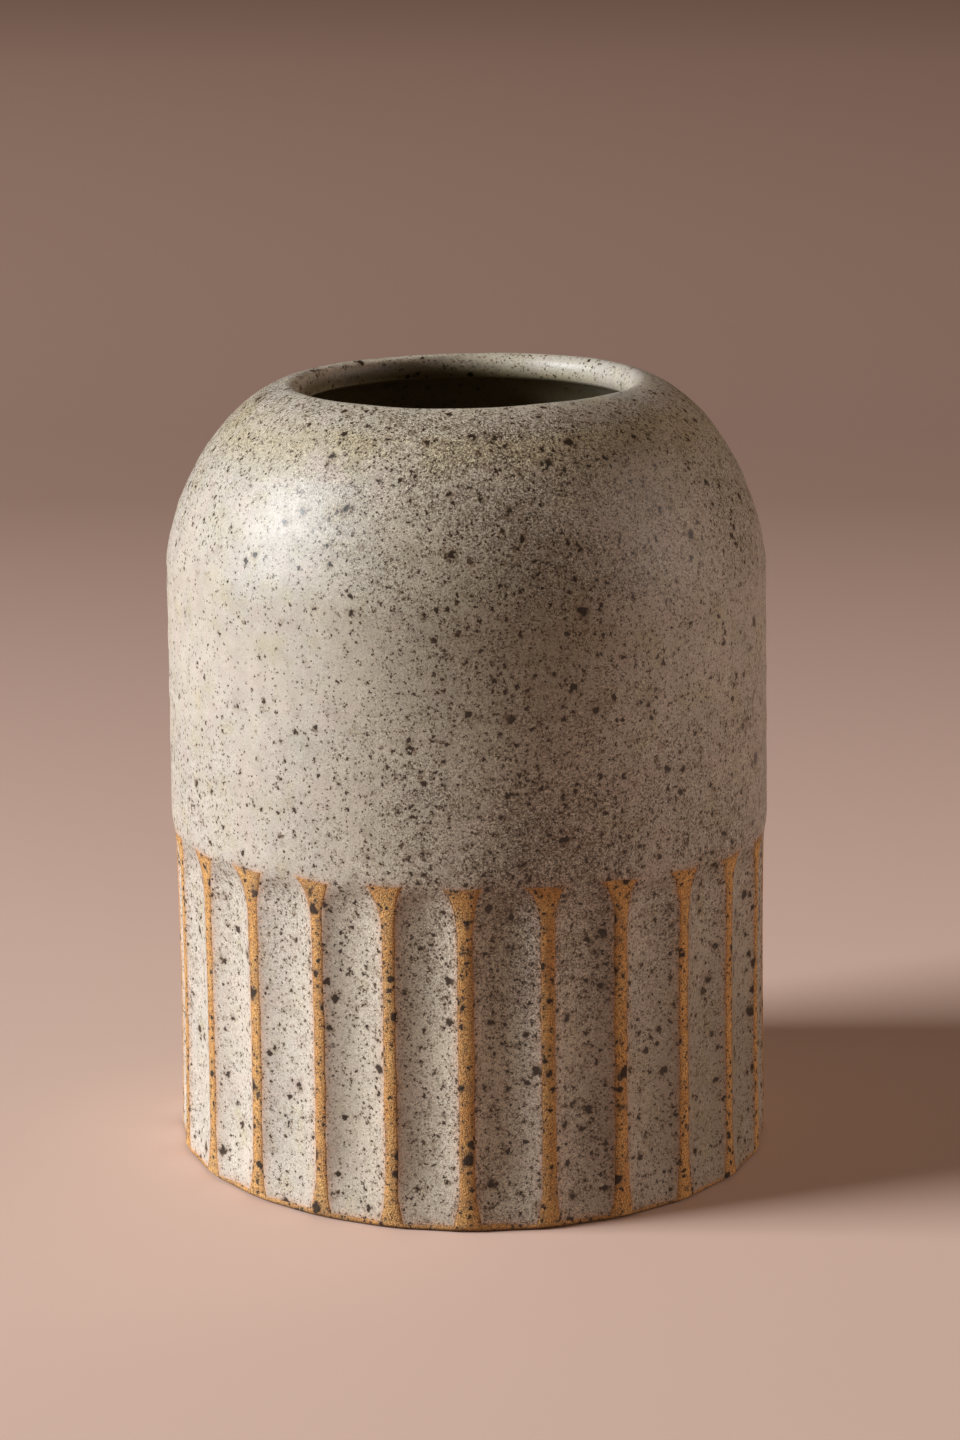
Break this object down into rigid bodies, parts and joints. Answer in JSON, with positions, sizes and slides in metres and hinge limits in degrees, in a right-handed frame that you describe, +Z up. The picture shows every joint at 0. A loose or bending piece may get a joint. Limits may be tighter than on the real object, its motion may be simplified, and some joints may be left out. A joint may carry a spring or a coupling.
{
  "type": "bud vase",
  "caption": "Small domed stoneware bud vase with a rounded lip, a narrow mouth and a fluted lower half, for holding a few cut stems.",
  "frame": {"origin": "centre of the foot on the surface that the vase stands on", "axes": "+Z up through the mouth; -Y is the front, where one bare ridge faces the viewer; +X is to the right of it. The lip is highest at the front right"},
  "size_m": [0.0934, 0.0928, 0.1208],
  "materials": {
    "amber_stoneware": "bare fired clay, sandy and matte, golden amber with dark iron specks",
    "speckled_glaze": "satin greige glaze with dense fine dark specks and a few larger iron spots",
    "liner_glaze": "satin greige glaze inside the pot, thinner and darker"
  },
  "bodies": {
    "root": {"clay_body": "amber_stoneware", "outer_glaze": "speckled_glaze", "liner_glaze": "liner_glaze"}
  },
  "joints": []
}
